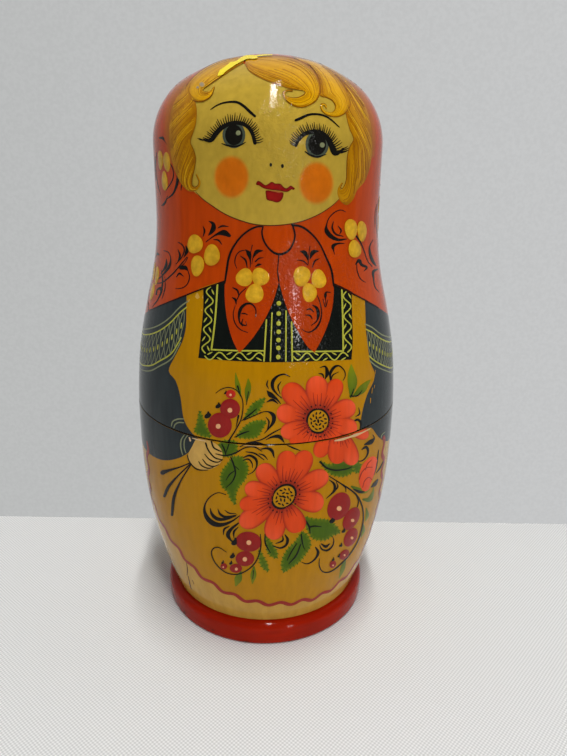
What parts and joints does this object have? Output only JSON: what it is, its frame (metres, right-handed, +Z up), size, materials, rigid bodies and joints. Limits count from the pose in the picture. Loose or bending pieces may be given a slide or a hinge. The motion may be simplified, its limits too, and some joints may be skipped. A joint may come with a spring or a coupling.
{
  "type": "matryoshka nesting doll",
  "caption": "Turned wooden nesting doll with a round foot and straight neck; it parts at the belly to hold ever smaller dolls.",
  "frame": {"origin": "middle of the largest doll's flat base, on the surface that it stands on", "axes": "+Z up along the turning axis; the painted face looks towards -Y; +X is the doll's left hand side"},
  "size_m": [0.1188, 0.1188, 0.25],
  "materials": {
    "kerchief": "orange-red paint on turned limewood under glossy lacquer",
    "skirt": "pale varnished limewood with painted bands under glossy lacquer",
    "bare_wood": "turned limewood, unpainted and unvarnished",
    "dress": "navy and black paint under glossy lacquer",
    "apron": "mustard yellow paint under glossy lacquer",
    "face": "pale yellow paint under glossy lacquer, gone warm with age",
    "hair": "golden brown paint under glossy lacquer",
    "flowers": "coral, red and white brush strokes under glossy lacquer",
    "leaves": "green brush strokes under glossy lacquer",
    "line_work": "black and dark red brush lines under glossy lacquer",
    "foot": "red paint under glossy lacquer"
  },
  "bodies": {
    "bottom_half_1": {"bottom_half_1": "skirt"},
    "top_half_1": {"top_half_1": "kerchief"},
    "bottom_half_2": {"bottom_half_2": "skirt"},
    "top_half_2": {"top_half_2": "kerchief"},
    "bottom_half_3": {"bottom_half_3": "skirt"},
    "top_half_3": {"top_half_3": "kerchief"},
    "bottom_half_4": {"bottom_half_4": "skirt"},
    "top_half_4": {"top_half_4": "kerchief"},
    "bottom_half_5": {"bottom_half_5": "skirt"},
    "top_half_5": {"top_half_5": "kerchief"},
    "bottom_half_6": {"bottom_half_6": "skirt"},
    "top_half_6": {"top_half_6": "kerchief"},
    "bottom_half_7": {"bottom_half_7": "skirt"},
    "top_half_7": {"top_half_7": "kerchief"},
    "bottom_half_8": {"bottom_half_8": "skirt"},
    "top_half_8": {"top_half_8": "kerchief"},
    "bottom_half_9": {"bottom_half_9": "skirt"},
    "top_half_9": {"top_half_9": "kerchief"},
    "innermost_doll": {"innermost_doll": "kerchief"}
  },
  "joints": [
    {"name": "lift_out_2", "type": "slide", "parent": "bottom_half_1", "child": "bottom_half_2", "axis": [0, 0, 1], "range_m": [0, 0.111]},
    {"name": "lift_out_3", "type": "slide", "parent": "bottom_half_2", "child": "bottom_half_3", "axis": [0, 0, 1], "range_m": [0, 0.09]},
    {"name": "lift_out_4", "type": "slide", "parent": "bottom_half_3", "child": "bottom_half_4", "axis": [0, 0, 1], "range_m": [0, 0.0731]},
    {"name": "lift_out_5", "type": "slide", "parent": "bottom_half_4", "child": "bottom_half_5", "axis": [0, 0, 1], "range_m": [0, 0.0593]},
    {"name": "lift_out_6", "type": "slide", "parent": "bottom_half_5", "child": "bottom_half_6", "axis": [0, 0, 1], "range_m": [0, 0.0481]},
    {"name": "lift_out_7", "type": "slide", "parent": "bottom_half_6", "child": "bottom_half_7", "axis": [0, 0, 1], "range_m": [0, 0.039]},
    {"name": "lift_out_8", "type": "slide", "parent": "bottom_half_7", "child": "bottom_half_8", "axis": [0, 0, 1], "range_m": [0, 0.0316]},
    {"name": "lift_out_9", "type": "slide", "parent": "bottom_half_8", "child": "bottom_half_9", "axis": [0, 0, 1], "range_m": [0, 0.0257]},
    {"name": "twist", "type": "hinge", "parent": "bottom_half_9", "child": "innermost_doll", "pos_m": [0, 0, 0.107], "axis": [0, 0, 1], "continuous": true},
    {"name": "lift_off_9", "type": "slide", "parent": "innermost_doll", "child": "top_half_9", "axis": [0, 0, 1], "range_m": [0, 0.0225]},
    {"name": "lift_off_8", "type": "slide", "parent": "top_half_9", "child": "top_half_8", "axis": [0, 0, 1], "range_m": [0, 0.0277]},
    {"name": "lift_off_7", "type": "slide", "parent": "top_half_8", "child": "top_half_7", "axis": [0, 0, 1], "range_m": [0, 0.0342]},
    {"name": "lift_off_6", "type": "slide", "parent": "top_half_7", "child": "top_half_6", "axis": [0, 0, 1], "range_m": [0, 0.0421]},
    {"name": "lift_off_5", "type": "slide", "parent": "top_half_6", "child": "top_half_5", "axis": [0, 0, 1], "range_m": [0, 0.0519]},
    {"name": "lift_off_4", "type": "slide", "parent": "top_half_5", "child": "top_half_4", "axis": [0, 0, 1], "range_m": [0, 0.064]},
    {"name": "lift_off_3", "type": "slide", "parent": "top_half_4", "child": "top_half_3", "axis": [0, 0, 1], "range_m": [0, 0.0788]},
    {"name": "lift_off_2", "type": "slide", "parent": "top_half_3", "child": "top_half_2", "axis": [0, 0, 1], "range_m": [0, 0.0972]},
    {"name": "lift_off_1", "type": "slide", "parent": "top_half_2", "child": "top_half_1", "axis": [0, 0, 1], "range_m": [0, 0.1198]}
  ]
}
